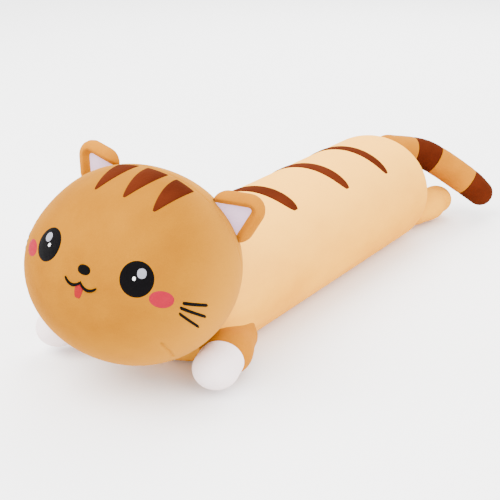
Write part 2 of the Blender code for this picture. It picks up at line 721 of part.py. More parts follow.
arm_frames = limb_frames(ARM_PIVOTS, ARM_LENGTH, PAW_RADIUS, ARM_SPLAY, -1)
leg_frames = limb_frames(LEG_PIVOTS, LEG_LENGTH, FOOT_RADIUS, LEG_SPLAY, 1)
arm_cuts = limb_cutters("arm", arm_frames, max(ARM_RADIUS, PAW_RADIUS), ARM_LENGTH)
leg_cuts = limb_cutters("leg", leg_frames, max(LEG_RADIUS, FOOT_RADIUS), LEG_LENGTH)
tail_cut = tail_band_cutter("root", TAIL_ROOT, TAIL_BANDS[0][1], TAIL_BANDS[0][2])
build_body(torso_front, torso_rear, arm_cuts, [*leg_cuts, tail_cut])
build_neck(neck)
build_head(head)
build_face(head)
build_head_stripes(head)
build_ears(head)
arm_shapes = limb_profiles(ARM_RADIUS, PAW_RADIUS, ARM_LENGTH, PAW_CAP)
leg_shapes = limb_profiles(LEG_RADIUS, FOOT_RADIUS, LEG_LENGTH, FOOT_CAP)
build_limbs(("arm", "paw"), arm_frames, arm_shapes, torso_front, ("orange_plush", "white_plush"))
build_limbs(("leg", "foot"), leg_frames, leg_shapes, torso_rear, ("peach_plush", "peach_plush"))
build_tail(torso_rear)
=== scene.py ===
# %% [markdown]
# # A long plush cat
# The toy is a stuffed head sewn onto a long stuffed body, with short arms and feet, two ears and a banded
# tail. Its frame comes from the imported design. Every piece here is made in that frame's own metres, where
# the frame has it, so nothing is moved to fit afterwards. The looks are added around it, one soft piece at
# a time.

# %% Load the frame
import json
from math import cos, pi, radians, sin, sqrt

import bpy
import numpy as np
from mathutils import Matrix, Vector
from mathutils.bvhtree import BVHTree

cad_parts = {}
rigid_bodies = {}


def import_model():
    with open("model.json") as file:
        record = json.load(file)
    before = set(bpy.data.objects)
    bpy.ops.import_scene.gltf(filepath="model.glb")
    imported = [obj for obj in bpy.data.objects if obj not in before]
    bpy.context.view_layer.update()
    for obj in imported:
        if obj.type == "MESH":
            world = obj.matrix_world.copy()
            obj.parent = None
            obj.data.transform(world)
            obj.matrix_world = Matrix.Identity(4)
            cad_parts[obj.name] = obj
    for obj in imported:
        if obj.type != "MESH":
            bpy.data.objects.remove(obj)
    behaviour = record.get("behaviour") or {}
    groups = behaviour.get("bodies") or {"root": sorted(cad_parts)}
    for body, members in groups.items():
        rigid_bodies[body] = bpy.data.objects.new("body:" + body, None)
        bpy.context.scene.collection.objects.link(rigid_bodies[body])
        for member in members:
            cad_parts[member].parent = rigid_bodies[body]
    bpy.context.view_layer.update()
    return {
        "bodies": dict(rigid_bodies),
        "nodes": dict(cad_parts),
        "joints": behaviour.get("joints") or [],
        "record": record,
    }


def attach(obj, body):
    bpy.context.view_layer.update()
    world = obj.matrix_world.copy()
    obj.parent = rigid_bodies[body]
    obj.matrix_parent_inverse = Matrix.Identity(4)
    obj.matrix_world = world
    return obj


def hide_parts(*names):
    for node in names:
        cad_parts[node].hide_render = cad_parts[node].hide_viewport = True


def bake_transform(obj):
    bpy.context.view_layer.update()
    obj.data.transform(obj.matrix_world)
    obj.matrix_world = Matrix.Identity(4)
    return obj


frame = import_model()

# %% [markdown]
# ## The camera, the floor and the light
# The toy lies on a plain pale floor under a broad soft light, as on a studio table. The camera looks down
# on it from the cat's left, through a long lens, so the tail end is only a little smaller than the head. It
# comes first because every later choice is judged through it.

# %% Camera
LOOK_AT = Vector((-0.0054, 0.0920, 0.0769))
CAMERA_DISTANCE = 1.44
CAMERA_ROUND = radians(32.7)
CAMERA_UP = radians(20.5)
CAMERA_LENS = 79.5
CAMERA_RANGE = 50


def deselect():
    if bpy.context.mode != "OBJECT":
        bpy.ops.object.mode_set(mode="OBJECT")
    for obj in bpy.context.selected_objects:
        obj.select_set(False)


deselect()
out = Vector((sin(CAMERA_ROUND) * cos(CAMERA_UP), -cos(CAMERA_ROUND) * cos(CAMERA_UP), sin(CAMERA_UP)))
place = LOOK_AT + out * CAMERA_DISTANCE
bpy.ops.object.camera_add(location=place, rotation=(-out).to_track_quat("-Z", "Y").to_euler())
camera = bpy.context.object
camera.name = "camera"
camera.data.lens = CAMERA_LENS
camera.data.clip_end = CAMERA_RANGE
bpy.context.scene.camera = camera
print("camera at", [round(x, 3) for x in place])

# %% Floor and light
FLOOR_SIZE = 16
KEY = dict(place=(-0.9, -1.3, 2.2), size=2.2, power=155)
FILL = dict(place=(1.9, -0.6, 1.4), size=2.4, power=62)
BACK = dict(place=(-0.6, 2.2, 1.9), size=2.0, power=95)
ALL_ROUND_LIGHT = 3.4

bpy.ops.mesh.primitive_plane_add(size=FLOOR_SIZE)
floor = bpy.context.object
floor.name = "floor"
for name, lamp in (("key", KEY), ("fill", FILL), ("back", BACK)):
    spot = Vector(lamp["place"])
    turn = (LOOK_AT - spot).to_track_quat("-Z", "Y").to_euler()
    bpy.ops.object.light_add(type="AREA", location=spot, rotation=turn)
    light = bpy.context.object
    light.name = "light_" + name
    light.data.size = lamp["size"]
    light.data.energy = lamp["power"]
world = bpy.context.scene.world or bpy.data.worlds.new("studio")
bpy.context.scene.world = world
world.use_nodes = True
sky = world.node_tree.nodes["Background"]
sky.inputs["Color"].default_value = (1, 1, 1, 1)
sky.inputs["Strength"].default_value = ALL_ROUND_LIGHT

# %% [markdown]
# ## Writing materials as sums
# Cloth needs many small variations: mottling, pile, thread. Node graphs are easiest to read as arithmetic,
# so one small class wraps a socket and adds a Math node for each operator. Everything else comes from one
# method.


# %% The socket wrapper
class Sum:
    """A number that varies over a surface. Adding, taking away and multiplying make Math nodes."""

    def __init__(self, finish, socket):
        self.finish = finish
        self.socket = socket

    def maths(self, operation, other):
        return self.finish.node("ShaderNodeMath", {"operation": operation}, self, other)

    def __add__(self, other):
        return self.maths("ADD", other)

    def __sub__(self, other):
        return self.maths("SUBTRACT", other)

    def __mul__(self, other):
        return self.maths("MULTIPLY", other)

    __radd__ = __add__


class Finish:
    """One material, and the way to add nodes to it."""

    def __init__(self, name, roughness, sheen=0.0, sheen_roughness=0.45, sheen_tint=(1, 1, 1), gloss=0.0):
        self.material = bpy.data.materials.new(name)
        self.material.use_nodes = True
        self.tree = self.material.node_tree
        self.shader = self.tree.nodes["Principled BSDF"]
        self.shader.inputs["Roughness"].default_value = roughness
        self.shader.inputs["Specular IOR Level"].default_value = gloss
        self.shader.inputs["Sheen Weight"].default_value = sheen
        self.shader.inputs["Sheen Roughness"].default_value = sheen_roughness
        self.shader.inputs["Sheen Tint"].default_value = (*sheen_tint, 1)

    def put(self, target, value):
        if isinstance(value, Sum):
            self.tree.links.new(value.socket, target)
        elif isinstance(value, bpy.types.NodeSocket):
            self.tree.links.new(value, target)
        else:
            target.default_value = value

    def node(self, kind, settings=None, *values, output=0, **named):
        """A node with its settings, then its sockets by order or by name. It gives one output."""
        made = self.tree.nodes.new(kind)
        for key, value in (settings or {}).items():
            setattr(made, key, value)
        for target, value in zip(made.inputs, values):
            self.put(target, value)
        for key, value in named.items():
            self.put(made.inputs[key.replace("_", " ").title()], value)
        socket = made.outputs[output]
        return Sum(self, socket) if socket.type == "VALUE" else socket

    def place(self, stretch=(1, 1, 1)):
        """Where a point is on the piece, in metres, with an axis stretched if wanted."""
        spot = self.node("ShaderNodeTexCoord", output="Object")
        return self.node("ShaderNodeMapping", None, vector=spot, scale=stretch)

    def noise(self, scale, detail=2.0, stretch=(1, 1, 1)):
        spot = self.place(stretch)
        return self.node("ShaderNodeTexNoise", None, vector=spot, scale=scale, detail=detail)

    def mix(self, share, first, second):
        """A blend of two colours. Inputs 0, 6 and 7 of the node are the share and the two colours."""
        made = self.tree.nodes.new("ShaderNodeMix")
        made.data_type = "RGBA"
        self.put(made.inputs[0], share)
        self.put(made.inputs[6], first)
        self.put(made.inputs[7], second)
        return made.outputs[2]

    def bump(self, height, depth, strength, under=None):
        made = self.tree.nodes.new("ShaderNodeBump")
        made.inputs["Strength"].default_value = strength
        made.inputs["Distance"].default_value = depth
        self.put(made.inputs["Height"], height)
        if under is not None:
            self.put(made.inputs["Normal"], under)
        return made.outputs["Normal"]

    def give(self, name, value):
        self.put(self.shader.inputs[name], value)


print("socket wrapper ready")

# %% [markdown]
# ## The cloths
# The toy is sewn from short, smooth plush. From a metre away it shows three things: slow mottling where the
# pile lies this way or that, a fine grain from the tips of the fibres, and a pale bloom where the surface
# turns away. The mottling mixes two close colours, the grain is a bump from stretched noise, and the bloom
# is sheen. Light is also painted into the colour: the head is painted paler towards its seams, a painted
# rim sheen, and the body is painted paler over its back than low on its sides, a painted highlight.


# %% Plush
BLOOM_TINT = (1.0, 0.66, 0.34)
BLOOM_SOFTNESS = 0.35
PLUSH_ROUGHNESS = 0.92
DRIFT = dict(scale=7.0, detail=2.0)
BRUSHED = dict(scale=42.0, detail=3.0, stretch=(1, 0.45, 1))
GRAIN = dict(scale=900.0, detail=2.0, stretch=(1, 0.6, 1))
TUFTS = dict(scale=260.0, detail=3.0, stretch=(1, 0.7, 1))
PILE = 0.0005
TUFT_DEPTH = PILE * 1.6
PAINTED_LIGHT_SHARE = 0.8


def plush(name, colour, lighter, darker, bloom=0.12, painted_light=None):
    finish = Finish(name, PLUSH_ROUGHNESS, bloom, BLOOM_SOFTNESS, BLOOM_TINT)
    drift = finish.noise(**DRIFT)
    brushed = finish.noise(**BRUSHED)
    grain = finish.noise(**GRAIN)
    share = drift * 0.7 + brushed * 0.45 + grain * 0.12 - 0.14
    low = finish.mix(share, (*darker, 1), (*colour, 1))
    cloth = finish.mix(share * 1.3 - 0.35, low, (*lighter, 1))
    # Painted light: the colour is blended towards a paler one by distance from a spot, standing in for sheen
    # and highlight.
    if painted_light:
        spot, stretch, near, far, paler = painted_light
        where = finish.place(stretch)
        away = finish.node("ShaderNodeVectorMath", {"operation": "DISTANCE"}, where, spot, output="Value")
        soft = {"interpolation_type": "SMOOTHSTEP"}
        reach = finish.node("ShaderNodeMapRange", soft, away, near, far, 0.0, 1.0)
        cloth = finish.mix(reach * PAINTED_LIGHT_SHARE, cloth, (*paler, 1))
    finish.give("Base Color", cloth)
    finish.give("Roughness", 0.84 + brushed * 0.14)
    tufts = finish.bump(finish.noise(**TUFTS), TUFT_DEPTH, 0.55)
    finish.give("Normal", finish.bump(grain, PILE, 0.6, tufts))
    return finish.material


# Each painted light gradient is a spot, a stretch, how far from the spot the painted paler colour starts and
# is full, and that colour.
# Painted rim sheen: the head's cloth is painted paler away from the forehead, towards its seams.
HEAD_PAINTED_RIM_SHEEN = ((0.015, -0.235, 0.190), (1, 1, 1), 0.085, 0.170, (0.430, 0.178, 0.0100))
# Painted highlight: the body's cloth is painted paler over its back, away from the belly.
BODY_PAINTED_TOP_HIGHLIGHT = ((0.0, 0.0, -0.200), (1, 0.01, 1), 0.260, 0.385, (0.960, 0.480, 0.0700))
tan = plush(
    "tan_plush", (0.250, 0.090, 0.0008), (0.320, 0.126, 0.0020), (0.205, 0.068, 0.0005), 0.12, HEAD_PAINTED_RIM_SHEEN
)
peach = plush(
    "peach_plush", (0.700, 0.290, 0.009), (0.810, 0.380, 0.024), (0.580, 0.220, 0.005), 0.10, BODY_PAINTED_TOP_HIGHLIGHT
)
orange = plush("orange_plush", (0.350, 0.120, 0.0012), (0.430, 0.160, 0.0026), (0.270, 0.086, 0.0008))
brown = plush("brown_plush", (0.055, 0.0090, 0.0028), (0.088, 0.016, 0.005), (0.030, 0.0040, 0.0018), 0.04)
white = plush("white_plush", (0.800, 0.680, 0.680), (0.880, 0.780, 0.780), (0.720, 0.600, 0.600))
lilac = plush("ear_plush", (0.520, 0.380, 0.520), (0.620, 0.470, 0.610), (0.430, 0.300, 0.430))
print("plush colours: tan, peach, orange, brown, white, lilac")

# %% [markdown]
# The face is embroidered: thread laid side by side in fine parallel ridges. A wave makes the ridges, and a
# little noise keeps them from being ruled lines.

# %% Thread
THREAD_WIDTH = 0.0009
THREAD_DEPTH = 0.00018
THREAD_WOBBLE = 5.0
WOBBLE_SCALE = 120.0


def thread(name, colour, lighter, lie, roughness=0.5):
    finish = Finish(name, roughness, gloss=0.02)
    spot = finish.place()
    wobble = finish.noise(WOBBLE_SCALE)
    way = Vector(lie).normalized()
    across = finish.node("ShaderNodeVectorMath", {"operation": "DOT_PRODUCT"}, spot, way, output="Value")
    wave = across * (2 * pi / THREAD_WIDTH) + wobble * THREAD_WOBBLE
    ridges = finish.node("ShaderNodeMath", {"operation": "SINE"}, wave)
    finish.give("Base Color", finish.mix(ridges * 0.25 + wobble * 0.5, (*colour, 1), (*lighter, 1)))
    finish.give("Normal", finish.bump(ridges, THREAD_DEPTH, 0.6))
    return finish.material


black = thread("black_thread", (0.0012, 0.0010, 0.0012), (0.0030, 0.0026, 0.0032), (1, 0.2, 0.3), 0.55)
grey = thread("grey_thread", (0.200, 0.200, 0.235), (0.260, 0.260, 0.300), (1, 0.2, 0.3))
bright = thread("white_thread", (0.850, 0.850, 0.850), (0.920, 0.920, 0.920), (1, 0.2, 0.3))
pink = thread("pink_thread", (0.225, 0.0050, 0.0170), (0.290, 0.0120, 0.0280), (0.4, 0.2, 1), 0.6)
red = thread("tongue_thread", (0.205, 0.0070, 0.0085), (0.260, 0.0140, 0.0150), (0.2, 0.1, 1), 0.6)
print("threads: black, grey, white, pink, red")

# %% The floor's paper
paper = Finish("floor_paper", 0.9)
shade = paper.noise(1.5, 2.0)
paper.give("Base Color", paper.mix(shade, (0.93, 0.93, 0.93, 1), (0.95, 0.95, 0.95, 1)))
floor.data.materials.append(paper.material)

# %% [markdown]
# ## A way of working
# Every piece but the tail starts as a primitive, and is shaped by moving its points or by picking some of
# its faces or edges and using an operator on them. Picking is done by place, with a test on their middles,
# so it never depends on an index.


# %% Picking and moving
def only(obj):
    deselect()
    obj.select_set(True)
    bpy.context.view_layer.objects.active = obj


def points(obj):
    where = np.empty(len(obj.data.vertices) * 3, np.float32)
    obj.data.vertices.foreach_get("co", where)
    return where.reshape(-1, 3).astype(float)


def move_to(obj, where):
    obj.data.vertices.foreach_set("co", np.asarray(where, np.float32).ravel())
    obj.data.update()


def outward(obj):
    """Each point's normal."""
    way = np.empty(len(obj.data.vertices) * 3, np.float32)
    obj.data.vertex_normals.foreach_get("vector", way)
    return way.reshape(-1, 3).astype(float)


def pick(obj, test, kind="FACE"):
    """In edit mode, with only the faces or edges selected whose middle passes the test."""
    only(obj)
    bpy.ops.object.mode_set(mode="EDIT")
    bpy.ops.mesh.select_mode(type=kind)
    bpy.ops.mesh.select_all(action="DESELECT")
    bpy.ops.object.mode_set(mode="OBJECT")
    where = points(obj)
    items = obj.data.edges if kind == "EDGE" else obj.data.polygons
    middles = np.array([where[list(item.vertices)].mean(0) for item in items])
    items.foreach_set("select", np.asarray(test(middles), bool))
    bpy.ops.object.mode_set(mode="EDIT")


def every(middles):
    """The test that all faces pass."""
    return np.full(len(middles), True)


def leave():
    bpy.ops.object.mode_set(mode="OBJECT")


def skin_of(obj):
    """The piece's surface, to find the nearest place on it or where a line meets it."""
    return BVHTree.FromPolygons(points(obj).tolist(), [list(f.vertices) for f in obj.data.polygons])


def duplicate(obj, name):
    made = obj.copy()
    made.data = obj.data.copy()
    made.name = made.data.name = name
    bpy.context.scene.collection.objects.link(made)
    return made


def finish_with(obj, kind, **settings):
    """Add a modifier and apply it."""
    only(obj)
    modifier = obj.modifiers.new(kind.title(), kind)
    for key, value in settings.items():
        setattr(modifier, key, value)
    bpy.ops.object.modifier_apply(modifier=modifier.name)


def complete(obj, material, slot, body, *nodes):
    """Dress a finished piece and hide the plain solids that it stands for. Given one body's name it hangs the
    piece on that body; given anything else it only bakes the piece's place into its points.
    """
    only(obj)
    bpy.ops.object.shade_smooth()
    obj.data.materials.clear()
    obj.data.materials.append(material)
    if nodes:
        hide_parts(*nodes)
    if isinstance(body, str):
        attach(obj, body)
    else:
        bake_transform(obj)


# %% [markdown]
# ## Balls and sausages
# A stuffed toy is made of balls and sausages. A cube with many cuts, rounded to a ball, has even square
# faces and no poles, which suits cloth. For a sausage the ball is split round its middle, the halves are
# drawn apart and the gap is bridged with rings.


# %% Ball and sausage
def ball(name, cuts):
    deselect()
    bpy.ops.mesh.primitive_cube_add(size=2)
    obj = bpy.context.object
    obj.name = obj.data.name = name
    bpy.ops.object.mode_set(mode="EDIT")
    bpy.ops.mesh.subdivide(number_cuts=cuts)
    leave()
    x, y, z = points(obj).T
    flat = [(x, y, z), (y, z, x), (z, x, y)]
    rounded = [a * np.sqrt(1 - b * b / 2 - c * c / 2 + b * b * c * c / 3) for a, b, c in flat]
    move_to(obj, np.stack(rounded, 1))
    return obj


def sausage(name, cuts, rings):
    """A round end from -1 to 0 along Y, a straight run from 0 to 1, and a round end from 1 to 2."""
    obj = ball(name, cuts)
    pick(obj, lambda middles: middles[:, 1] > 0)
    bpy.ops.mesh.split()
    bpy.ops.transform.translate(value=(0, 1, 0))
    leave()
    close = 1e-4
    pick(obj, lambda m: (abs(m[:, 1]) < close) | (abs(m[:, 1] - 1) < close), "EDGE")
    bpy.ops.mesh.bridge_edge_loops(number_cuts=rings)
    bpy.ops.mesh.select_all(action="SELECT")
    bpy.ops.mesh.normals_make_consistent(inside=False)
    leave()
    return obj


# %% [markdown]
# ## Stuffing
# A sewn cover is filled until it is tight. The cloth simulation does the same: pressure blows the cover up
# from a slightly smaller start, the seams are pinned where the thread holds them, and the panels crown
# between them. How far a point may move is capped, so the toy keeps its size.

# %% Stuffing
STUFF_PRESSURE = 4.0
STUFF_FRAMES = 20
SWELL_LIMIT = 1.6
LIMB_SWELL_LIMIT = 1.8


def stuff(obj, cap, held=None):
    """Blow the cover up. held marks the points that the seams keep in place."""
    start = points(obj)
    cloth = obj.modifiers.new("Stuffing", "CLOTH")
    cloth.settings.use_pressure = True
    cloth.settings.uniform_pressure_force = STUFF_PRESSURE
    cloth.settings.effector_weights.gravity = 0
    cloth.point_cache.frame_start = 1
    cloth.point_cache.frame_end = STUFF_FRAMES
    if held is not None:
        group = obj.vertex_groups.new(name="seams")
        group.add([int(i) for i in np.flatnonzero(held)], 1.0, "REPLACE")
        cloth.settings.vertex_group_mass = "seams"
    for frame_number in range(1, STUFF_FRAMES + 1):
        bpy.context.scene.frame_set(frame_number)
    graph = bpy.context.evaluated_depsgraph_get()
    blown = points(obj.evaluated_get(graph))
    obj.modifiers.clear()
    obj.vertex_groups.clear()
    bpy.context.scene.frame_set(1)
    step = blown - start
    far = np.linalg.norm(step, axis=1, keepdims=True)
    step *= np.minimum(1, cap / np.maximum(far, 1e-9))
    move_to(obj, start + step)
    print(obj.name, "swelled by up to", round(float(np.minimum(far, cap).max()) * 1000, 1), "mm")


def refine(obj):
    finish_with(obj, "SUBSURF", levels=1, render_levels=1)


# %% [markdown]
# ## The head
# The head is two panels of tan plush, face and back, sewn together in a ring that runs through both ears.
# It is wider than it is high and a little squarer than an egg. It is made as one ball in its own upright
# frame, turned and tipped to where it rests, stuffed with the ring of the seam held, and only then cut into
# its two panels.

# %% The head's place
HEAD_HALF = np.array([0.122, 0.118, 0.108])
HEAD_CENTRE = Vector((-0.002, -0.151, 0.1380))
HEAD_TURN = radians(6.7)
HEAD_NOD = radians(6.9)
HEAD_TILT = radians(12)
HEAD_SEAM = 0.040
HEAD_SQUARENESS = 2.06
TEMPLE = dict(lon=74, lat=34, depth=0.0050, spread=26)  # the head narrows a little above each cheek
SEAM_HALF = 0.0016
HEAD_SWELL = 0.0012

HEAD_MATRIX = (
    Matrix.Translation(HEAD_CENTRE)
    @ Matrix.Rotation(HEAD_TURN, 4, "Z")
    @ Matrix.Rotation(HEAD_NOD, 4, "X")
    @ Matrix.Rotation(HEAD_TILT, 4, "Y")
)


def through(matrix, where):
    """Points moved by a matrix."""
    turn = np.array(matrix)
    return where @ turn[:3, :3].T + turn[:3, 3]


head = ball("head_cover", 47)
unit = points(head)
reach = (np.abs(unit) ** HEAD_SQUARENESS).sum(1, keepdims=True) ** (-1 / HEAD_SQUARENESS)
for side in (1, -1):
    lon, lat = radians(TEMPLE["lon"]) * side, radians(TEMPLE["lat"])
    middle = np.array([sin(lon) * cos(lat), -cos(lon) * cos(lat), sin(lat)])
    away = np.degrees(np.arccos(np.clip(unit @ middle, -1, 1)))
    reach *= 1 - (TEMPLE["depth"] / HEAD_HALF[0] * np.exp(-((away / TEMPLE["spread"]) ** 2)))[:, None]
local = unit * reach * (HEAD_HALF - HEAD_SWELL)
move_to(head, through(HEAD_MATRIX, local))
stuff(head, HEAD_SWELL * SWELL_LIMIT, abs(local[:, 1] - HEAD_SEAM) < SEAM_HALF)
refine(head)
print("head:", len(head.data.polygons), "faces")

# %% [markdown]
# The seam is where the two panels turn inwards, so it shows as a narrow valley. Five cuts make fine rings
# along it, drawn in most at the middle one. A small dart in each cheek, sewn to round the face, is a short
# valley too.

# %% The head's seam and darts
SEAM_DEPTH = 0.0016
SEAM_WIDTH = 0.0022
DART = ((0.0845, -0.0812, -0.0233), (0.0885, -0.0700, -0.0370), (0.0885, -0.0582, -0.0519))
DART_DEPTH = 0.0026
DART_REACH = 0.0015
DART_CLOTH = 0.026
RING_CLOTH = 0.02
VALLEY_SHARE = 0.7


def valley(obj, away, depth, width):
    """Draw points in along their normals, most where away is 0."""
    move_to(obj, points(obj) - outward(obj) * (depth * np.exp(-((away / width) ** 2)))[:, None])


def sew_ring(obj, middle, way, depth, width):
    """A seam round a piece where a plane crosses it: fine rings of edges, drawn in to a valley."""
    for offset in (-2, -1, 0, 1, 2):
        pick(obj, lambda m: abs((m - np.array(middle)) @ np.array(way)) < RING_CLOTH)
        spot = Vector(middle) + Vector(way) * (offset * width / 2)
        bpy.ops.mesh.bisect(plane_co=spot, plane_no=way)
        leave()
    valley(obj, (points(obj) - np.array(middle)) @ np.array(way), depth, width * VALLEY_SHARE)


def line_distance(where, line, samples=60):
    """How far each point is from a line through a few places."""
    stops = np.array(line, float)
    share = np.linspace(0, len(stops) - 1, samples)
    drawn = np.stack([np.interp(share, range(len(stops)), stops[:, i]) for i in range(3)], 1)
    return np.sqrt(((where[:, None] - drawn[None]) ** 2).sum(2)).min(1)


seam_way = (HEAD_MATRIX.to_3x3() @ Vector((0, 1, 0))).normalized()
seam_spot = HEAD_MATRIX @ Vector((0, HEAD_SEAM, 0))
sew_ring(head, seam_spot, seam_way, SEAM_DEPTH, SEAM_WIDTH)
for side in (1, -1):
    dart = [HEAD_MATRIX @ Vector((x * side, y, z)) for x, y, z in DART]
    near_dart = np.array(sum(dart, Vector()) / len(dart))
    pick(head, lambda m: ((m - near_dart) ** 2).sum(1) < DART_CLOTH**2)
    bpy.ops.mesh.subdivide(number_cuts=2)
    leave()
    valley(head, line_distance(points(head), dart), DART_DEPTH, DART_REACH)
head_skin = skin_of(head)
print("head with its seam:", len(head.data.polygons), "faces")

# %% [markdown]
# ## Patches on the face
# Eyes, nose, mouth, tongue, cheeks, whiskers and stripes are all sewn or embroidered on the skin, so each
# is a grid laid on the head. A place is given as degrees round and up plus a shift in metres, then dropped
# onto the real skin along a line from the head's middle. The rim sinks into the skin and the middle stands
# up, as thread does.

# %% Laying a patch on the skin
PATCH_RISE = 0.0007
PATCH_SINK = 0.0006
PATCH_CLOTH = 0.0008
RAY_LENGTH = 0.3


def direction(lon, lat, right=0.0, up=0.0):
    """The way from the head's middle, in its own frame, to a place on the face."""
    lon, lat = radians(lon), radians(lat)
    out = Vector((sin(lon) * cos(lat), -cos(lon) * cos(lat), sin(lat)))
    side = Vector((cos(lon), sin(lon), 0))
    rise = side.cross(out)
    reach = 1 / sqrt(sum((out[i] / HEAD_HALF[i]) ** 2 for i in range(3)))
    return out * reach + side * right - rise * up


def on_skin(skin, middle, way, lift):
    """Where a line from a middle leaves the skin, and a little above."""
    hit, normal, _face, _far = skin.ray_cast(middle + way * RAY_LENGTH, -way)
    return hit + normal * lift


def crowned(rim, rise, base=0.0):
    """How high a patch stands, from sunk at its rim, where rim is 1, to its full rise at the middle."""
    return base - PATCH_SINK + (rise + PATCH_SINK) * max(0.0, 1 - rim**4) ** 0.5


def laid_grid(name, across, along, land, middle):
    """A grid, u and v from -1 to 1, moved to land(u, v), faced away from the middle and thickened."""
    deselect()
    bpy.ops.mesh.primitive_grid_add(x_subdivisions=across, y_subdivisions=along, size=2)
    obj = bpy.context.object
    obj.name = obj.data.name = name
    move_to(obj, [land(u, v) for u, v, _z in points(obj)])
    if sum(f.normal.dot(f.center - middle) for f in obj.data.polygons) < 0:
        pick(obj, every)
        bpy.ops.mesh.flip_normals()
        leave()
    finish_with(obj, "SOLIDIFY", thickness=PATCH_CLOTH, offset=-1.0)
    return obj


def disc(u, v):
    """A square's points drawn in to a round."""
    return u * sqrt(1 - v * v / 2), v * sqrt(1 - u * u / 2)


def patch(name, across, along, place, rim, material, slot, rise=PATCH_RISE, base=0.0):
    """place(u, v) gives a way from the head's middle, rim(u, v) how near the patch's rim a point is."""

    def land(u, v):
        way = (HEAD_MATRIX.to_3x3() @ Vector(place(u, v))).normalized()
        return on_skin(head_skin, HEAD_CENTRE, way, crowned(rim(u, v), rise, base))

    obj = laid_grid(name + "_patch", across, along, land, HEAD_CENTRE)
    complete(obj, material, slot, "head", name)


def square_rim(u, v):
    return max(abs(u), abs(v))


def round_rim(u, v):
    u, v = disc(u, v)
    return min(1.0, sqrt(u * u + v * v))


def oval(name, spot, side, material, slot, grid, base=0.0, rise=PATCH_RISE, turn=0.0):
    """A round patch at a spot on the face, turned in its own plane."""

    def place(u, v):
        u, v = disc(u, v)
        right, up = u * spot["wide"], v * spot["high"]
        across = right * cos(turn) - up * sin(turn)
        return direction(side * spot["lon"], spot["lat"], across, right * sin(turn) + up * cos(turn))

    patch(name, grid, grid, place, round_rim, material, slot, rise, base)


# %% Eyes, cheeks and nose
EYE = dict(lon=30.4, lat=25.4, wide=0.0190, high=0.0201)
LARGE_GLINT = dict(lon=2.5, lat=2.9, wide=0.0052, high=0.0056)
SMALL_GLINT = dict(lon=-1.6, lat=0.2, wide=0.0018, high=0.0023)
CHEEK = dict(lon=44.0, lat=15.2, wide=0.0147, high=0.0095)
CHEEK_DROOP = radians(14)
NOSE = dict(lon=0.0, lat=24.2, wide=0.0078, high=0.0056)
GLINT_BASE = 0.0008
NOSE_RISE = 0.0012

for word, side in (("left", 1), ("right", -1)):
    oval("eye_" + word, EYE, side, black, "black_thread", 30)
    for kind, glint, material, slot in (
        ("large", LARGE_GLINT, grey, "grey_thread"),
        ("small", SMALL_GLINT, bright, "white_thread"),
    ):
        spot = dict(glint, lon=EYE["lon"] + glint["lon"], lat=EYE["lat"] + glint["lat"])
        oval(f"eye_glint_{kind}_{word}", spot, side, material, slot, 14, GLINT_BASE)
    oval("cheek_" + word, CHEEK, side, pink, "pink_plush", 26, turn=-CHEEK_DROOP * side)
oval("nose", NOSE, 1, black, "black_thread", 16, rise=NOSE_RISE)
print("eyes, glints, cheeks and nose laid on the skin")

# %% Mouth, tongue and whiskers
MOUTH_LAT = 17.4
MOUTH_HALF_WIDTH = 0.0190
MOUTH_DIP = 0.0055
MOUTH_HALF_LINE = 0.0018
MOUTH_RISE = 0.0010
MOUTH_BASE = 0.0004
TONGUE_HALF_WIDTH = 0.0056
TONGUE_DROP = 0.0128
TONGUE_TAPER = 0.18
TONGUE_RISE = 0.0008
TONGUE_BASE = -0.0001
WHISKERS = ((55.2, 11.9, 0.0345, -18), (53.6, 9.9, 0.0405, -30), (53.2, 6.9, 0.0370, -42))
WHISKER_HALF_WIDTH = 0.0021
WHISKER_RISE = {"left": 0.0010, "right": 0.0004}
LINE_RIM = 0.98
FAR_WHISKER_SHIFT = 5.0  # degrees further back on the far cheek, behind its edge from the camera


def line_width(half, u):
    """A sewn line keeps its width and rounds off at its ends."""
    return half * sqrt(max(0.0, 1 - abs(u) ** 24))


def line_rim(_u, v):
    return abs(v) * LINE_RIM


def dip(across):
    """How far the mouth hangs down, either side of its middle."""
    return MOUTH_DIP * abs(sin(pi * across / MOUTH_HALF_WIDTH)) ** 0.8


def mouth(u, v):
    across = u * MOUTH_HALF_WIDTH
    return direction(0, MOUTH_LAT, across, v * line_width(MOUTH_HALF_LINE, u) - dip(across))


def tongue(u, v):
    down = (1 - v) / 2
    narrow = sqrt(max(0.0, 1 - down**5)) * (1 - TONGUE_TAPER * down)
    across = u * TONGUE_HALF_WIDTH * narrow
    top = -dip(across)
    low = -TONGUE_DROP - TONGUE_HALF_WIDTH
    return direction(0, MOUTH_LAT, across, top + down * (low - top))


def whisker(side, lon, lat, length, tip):
    def place(u, v):
        along = (u + 1) / 2 * length
        wide = v * line_width(WHISKER_HALF_WIDTH, u)
        return direction(side * lon, lat, side * along * cos(tip), wide + along * sin(tip))

    return place


patch("tongue", 14, 14, tongue, square_rim, red, "tongue_felt", TONGUE_RISE, TONGUE_BASE)
patch("mouth_line", 90, 5, mouth, line_rim, black, "black_thread", MOUTH_RISE, MOUTH_BASE)
for word, side in (("left", 1), ("right", -1)):
    for number, (lon, lat, length, tip) in enumerate(WHISKERS, 1):
        place = whisker(side, lon if side > 0 else lon + FAR_WHISKER_SHIFT, lat, length, radians(tip))
        patch(f"whisker_{word}_{number}", 36, 5, place, line_rim, black, "black_thread", WHISKER_RISE[word])
print("mouth, tongue and six whiskers laid on the skin")

# %% [markdown]
# The stripes on the forehead are brown plush set into the face panel: pointed in front, and widening back
# to the seam, which they are sewn into. They are laid like the other patches but thicker, since they are
# cloth with a pile and not thread.

# %% Head stripes
HEAD_STRIPES = (("left", 17), ("middle", 0), ("right", -17))
HEAD_STRIPE_HALF = 0.0140
HEAD_STRIPE_FROM = radians(71)
HEAD_STRIPE_TO = radians(108)
STRIPE_RISE = 0.0012
STRIPE_POINT = 0.015


